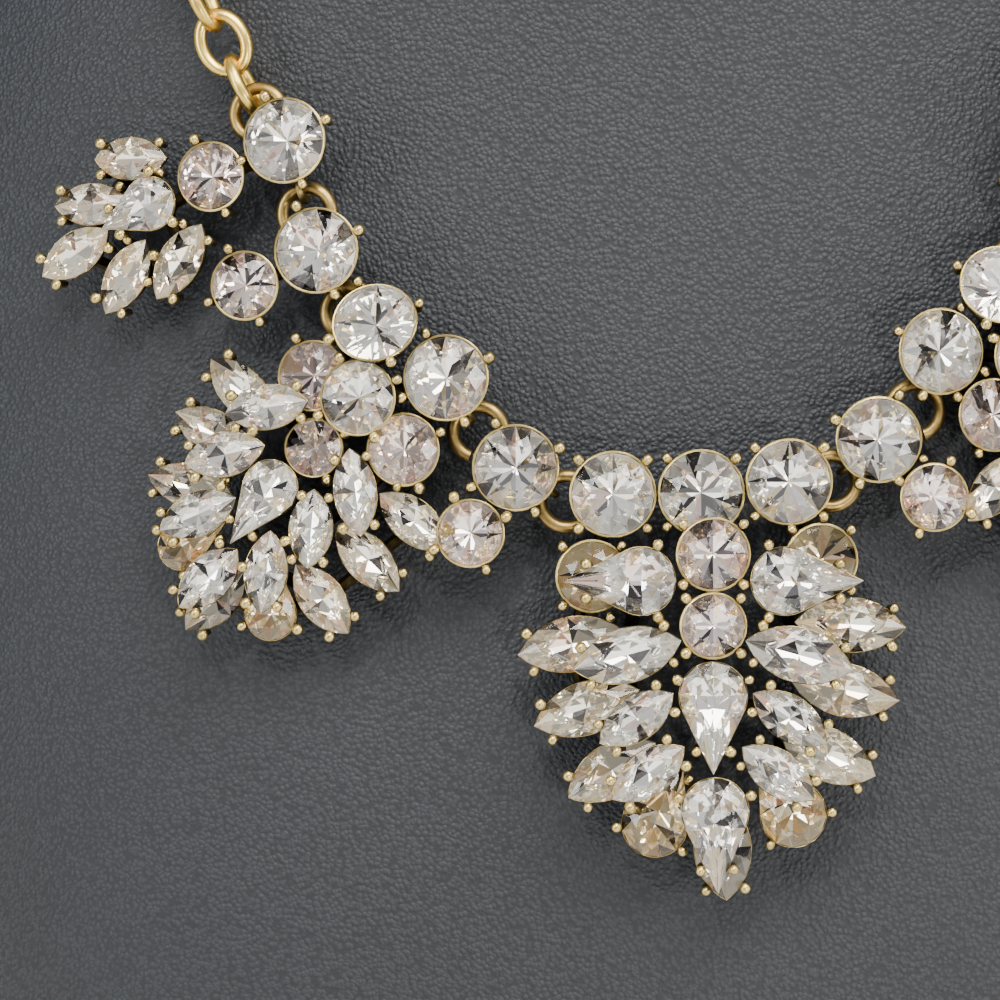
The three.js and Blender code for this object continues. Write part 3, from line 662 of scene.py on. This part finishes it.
def addLoops(heap, casting):
    for (number, side), (middle, normal) in ringPlaces.items():
        for kind, stoneName in linkedRings[number]:
            name = kind if kind == "centre" else f"{kind}_{side}"
            if name != casting["name"]:
                continue
            boss = findStone(name, f"{stoneName}_{side}" if kind == "centre" else stoneName)
            toBoss = boss["girdle"] - middle
            toBoss = (toBoss - normal * toBoss.dot(normal)).normalized()
            eye = middle + toBoss * (jumpRing["outer"] - jumpRing["wire"]) / 2 - normal * work["loopSag"]
            axis = normal.cross(toBoss)
            place = Matrix((toBoss, normal, axis)).transposed().to_4x4()
            place.translation = eye
            heap.wire(place, work["loopWidth"], work["loopWidth"], work["loopWire"], 0.5, 20, 8)
            half = (work["loopWidth"] - work["loopWire"]) / 2
            root = boss["girdle"] - casting["normal"] * (boss["height"] + work["loopRoot"])
            heap.rod(eye + toBoss * half, root, work["loopWire"] * 0.6, 0.4)


for name, casting in castings.items():
    for stone in casting["stones"]:
        stone["casting"] = casting
    heap = Heap()
    for stone in casting["stones"]:
        addCup(heap, stone, casting["back"])
    balls = addProngs(heap, casting)
    addBars(heap, casting)
    addLoops(heap, casting)
    heap.piece(f"casting_{name}", finishes["casting"], "setting_metal", [f"setting_{name}"], 35)
    for stone in casting["stones"]:
        if "node" in stone:
            buildGems("gem" + stone["node"][5:], [stone], [stone["node"]])
    pave = [stone for stone in casting["stones"] if "node" not in stone]
    if pave:
        buildGems(f"pave_{name}", pave)
    print("casting", name, "prongs", balls, "pave", len(pave))


# Jump rings, chains and clasp

for (number, side), (middle, normal) in ringPlaces.items():
    across = normal.cross(lieUp).normalized()
    place = Matrix((across, normal.cross(across), normal)).transposed().to_4x4()
    place.translation = middle
    heap = Heap()
    turn = jumpRing["cutAt"][number] if side == "left" else 180 - jumpRing["cutAt"][number]
    heap.wire(place, jumpRing["outer"], jumpRing["outer"], jumpRing["wire"], 0.6, 56, 14,
              jumpRing["cut"], math.radians(turn))
    heap.piece(f"split_ring_{number}_{side}", finishes["ring"], "ring_metal", [f"jump_ring_{number}_{side}"])

chain = {
    "length": 8.2 * mm, "width": 6.6 * mm, "wire": 1.5 * mm, "pitch": 5.4 * mm, "roll": 45,
    "firstAt": 3.42 * mm,  # from the jump ring's middle to the first link's
    "lastAt": 6.8 * mm,  # from the last link's middle to the clasp's
    "stride": 2 * mm, "reach": 4.6 * mm,  # steps and feeler used in following the CAD chain
}
clasp = {"length": 14 * mm, "width": 7.8 * mm, "wire": 1.5 * mm}
claspLow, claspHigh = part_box("clasp")
claspMiddle = (claspLow + claspHigh) / 2


def chainLine(side):  # middle line of the CAD chain, from its jump ring to the clasp
    points = np.array([v.co for v in nodes[f"chain_{side}"].data.vertices])
    at = ringPlaces[5, side][0]
    ahead = Vector(points[np.linalg.norm(points - np.array(at), axis=1) < 0.009].mean(0)) - at
    heading = ahead.normalized()
    line = [at.copy()]
    for _ in range(400):
        guess = at + heading * chain["stride"]
        near = points[np.linalg.norm(points - np.array(guess), axis=1) < chain["reach"]]
        if (guess - claspMiddle).length < 6 * mm or not len(near):
            break
        drift = Vector(near.mean(0)) - guess
        drift -= heading * drift.dot(heading)
        step = guess + drift * 0.7 - at
        at = at + step.normalized() * chain["stride"]
        heading = (heading * 0.5 + step.normalized() * 0.5).normalized()
        line.append(at.copy())
    line.append(claspMiddle.copy())
    for _ in range(6):
        line = [line[0]] + [(a + b * 2 + c) / 4 for a, b, c in zip(line, line[1:], line[2:])] + [line[-1]]
    return line


def alongLine(line, distance):
    for a, b in zip(line, line[1:]):
        step = (b - a).length
        if distance <= step or b is line[-1]:
            return a.lerp(b, distance / step), (b - a).normalized()
        distance -= step


for side, sign in (("left", -1), ("right", 1)):
    line = chainLine(side)
    total = sum((b - a).length for a, b in zip(line, line[1:]))
    steps = round((total - chain["firstAt"] - chain["lastAt"]) / chain["pitch"])
    pitch = (total - chain["firstAt"] - chain["lastAt"]) / steps
    heap = Heap()
    for i in range(steps + 1):
        middle, heading = alongLine(line, chain["firstAt"] + i * pitch)
        ahead = alongLine(line, chain["firstAt"] + i * pitch + 2 * mm)[0]
        behind = alongLine(line, max(chain["firstAt"] + i * pitch - 2 * mm, 0))[0]
        heading = (ahead - behind).normalized()
        across = Vector((middle.x, middle.y, 0)).normalized().cross(heading).normalized()
        place = Matrix((heading, across, heading.cross(across))).transposed().to_4x4()
        place.translation = middle
        place = place @ Matrix.Rotation(math.radians(sign * chain["roll"] * (1 if i % 2 == 0 else -1)), 4, "X")
        heap.wire(place, chain["length"], chain["width"], chain["wire"], dice.uniform(0.62, 0.9), 32, 12)
    heap.piece(f"links_{side}", finishes["chain"], "chain_metal", [f"chain_{side}"])
    print("chain", side, "links", steps + 1, "length", round(total, 4))

heap = Heap()
claspPlace = Matrix.Rotation(math.pi / 2, 4, "X")
claspPlace.translation = claspMiddle
heap.wire(claspPlace, clasp["length"], clasp["width"], clasp["wire"], 0.7, 56, 14)
heap.piece("clasp_loop", finishes["chain"], "chain_metal", ["clasp"])
print("rings, chains and clasp made")


# Bust

bust = {"rimInset": 0.965, "smooth": 3}


def bustRings():  # the CAD bust's level sections, from its base up
    levels = {}
    for vertex in nodes["neck_bust"].data.vertices:
        levels.setdefault(round(vertex.co.z, 5), set()).add((round(vertex.co.x, 6), round(vertex.co.y, 6)))
    rings = []
    for z in sorted(levels):
        points = [Vector((x, y, z)) for x, y in levels[z]]
        if len(points) > 12:
            middle = (max(p.y for p in points) + min(p.y for p in points)) / 2
            rings.append(sorted(points, key=lambda p: math.atan2(p.y - middle, p.x)))
    return rings


rings = bustRings()
print("bust sections", len(rings), sorted({len(ring) for ring in rings}))
bases = [[Vector((0, (rings[i][0].y + rings[i][len(rings[i]) // 2].y) / 2, rings[i][0].z)) for _ in (0,)][0] for i in (0, -1)]
caps = [[base.lerp(p, bust["rimInset"]) for p in ring] for base, ring in zip(bases, (rings[0], rings[-1]))]
heap = Heap()
heap.loft([caps[0]] + rings + [caps[1]], 0.5)
body = heap.piece("covered_bust", finishes["leather"], "bust_cover", ["neck_bust"], 80)
rounding = body.modifiers.new("rounding", "SUBSURF")
rounding.levels = rounding.render_levels = bust["smooth"]
print("bust made")


# Floor, light and camera

stage = {"floorRadius": 8.0, "worldColour": (0.84, 0.86, 0.90, 1), "worldStrength": 0.6}
camera = {
    "aim": (-22.1 * mm, -0.8 * mm, 0.0),  # from the middle top stone, across and up the bib
    "distance": 0.42,
    "frameWidth": 109.3 * mm,  # how much of the bib the view is wide
    "sensor": 36.0,
}
lamps = [  # name, place from the aim point (across, up the bib, out), size, watts, colour
    ("keySoftbox", (0.10, 0.42, 0.38), (0.42, 0.30), 6.0, (1.0, 0.98, 0.95)),
    ("leftSoftbox", (-0.50, 0.10, 0.34), (0.16, 0.50), 2.6, (0.94, 0.97, 1.0)),
    ("rightStrip", (0.48, 0.06, 0.24), (0.07, 0.50), 1.8, (1.0, 0.97, 0.93)),
    ("spotHigh", (-0.16, 0.34, 0.62), (0.045, 0.045), 2.0, (1.0, 0.99, 0.97)),
    ("spotLow", (0.20, -0.16, 0.56), (0.04, 0.04), 1.4, (1.0, 0.97, 0.92)),
    ("backFill", (0.25, 0.55, -0.75), (0.6, 0.6), 6.0, (0.97, 0.98, 1.0)),
]

aim = bibMiddle + lieAcross * camera["aim"][0] + lieUp * camera["aim"][1] + lieOut * camera["aim"][2]

floorMesh = bpy.data.meshes.new("floor")
floorRing = [(math.cos(t) * stage["floorRadius"], math.sin(t) * stage["floorRadius"], -0.0001)
             for t in [2 * math.pi * i / 64 for i in range(64)]]
floorMesh.from_pydata(floorRing, [], [tuple(range(64))])
floorMesh.materials.append(finishes["floor"])
floor = bpy.data.objects.new("floor", floorMesh)
bpy.context.scene.collection.objects.link(floor)

world = bpy.data.worlds.new("studio")
bpy.context.scene.world = world
world.use_nodes = True
world.node_tree.nodes["Background"].inputs["Color"].default_value = stage["worldColour"]
world.node_tree.nodes["Background"].inputs["Strength"].default_value = stage["worldStrength"]

for name, (across, up, out), size, watts, colour in lamps:
    lamp = bpy.data.lights.new(name, "AREA")
    lamp.shape, lamp.energy, lamp.color = "RECTANGLE", watts, colour
    lamp.size, lamp.size_y = size
    holder = bpy.data.objects.new(name, lamp)
    bpy.context.scene.collection.objects.link(holder)
    holder.location = aim + lieAcross * across + lieUp * up + lieOut * out
    holder.rotation_euler = (aim - holder.location).to_track_quat("-Z", "Y").to_euler()

lens = bpy.data.cameras.new("camera")
lens.sensor_width = camera["sensor"]
lens.lens = camera["sensor"] * camera["distance"] / camera["frameWidth"]
lens.clip_start, lens.clip_end = 0.01, 20
viewer = bpy.data.objects.new("camera", lens)
bpy.context.scene.collection.objects.link(viewer)
viewer.matrix_world = Matrix((lieAcross, lieUp, lieOut)).transposed().to_4x4()
viewer.location = aim + lieOut * camera["distance"]
bpy.context.scene.camera = viewer
print("stage set")
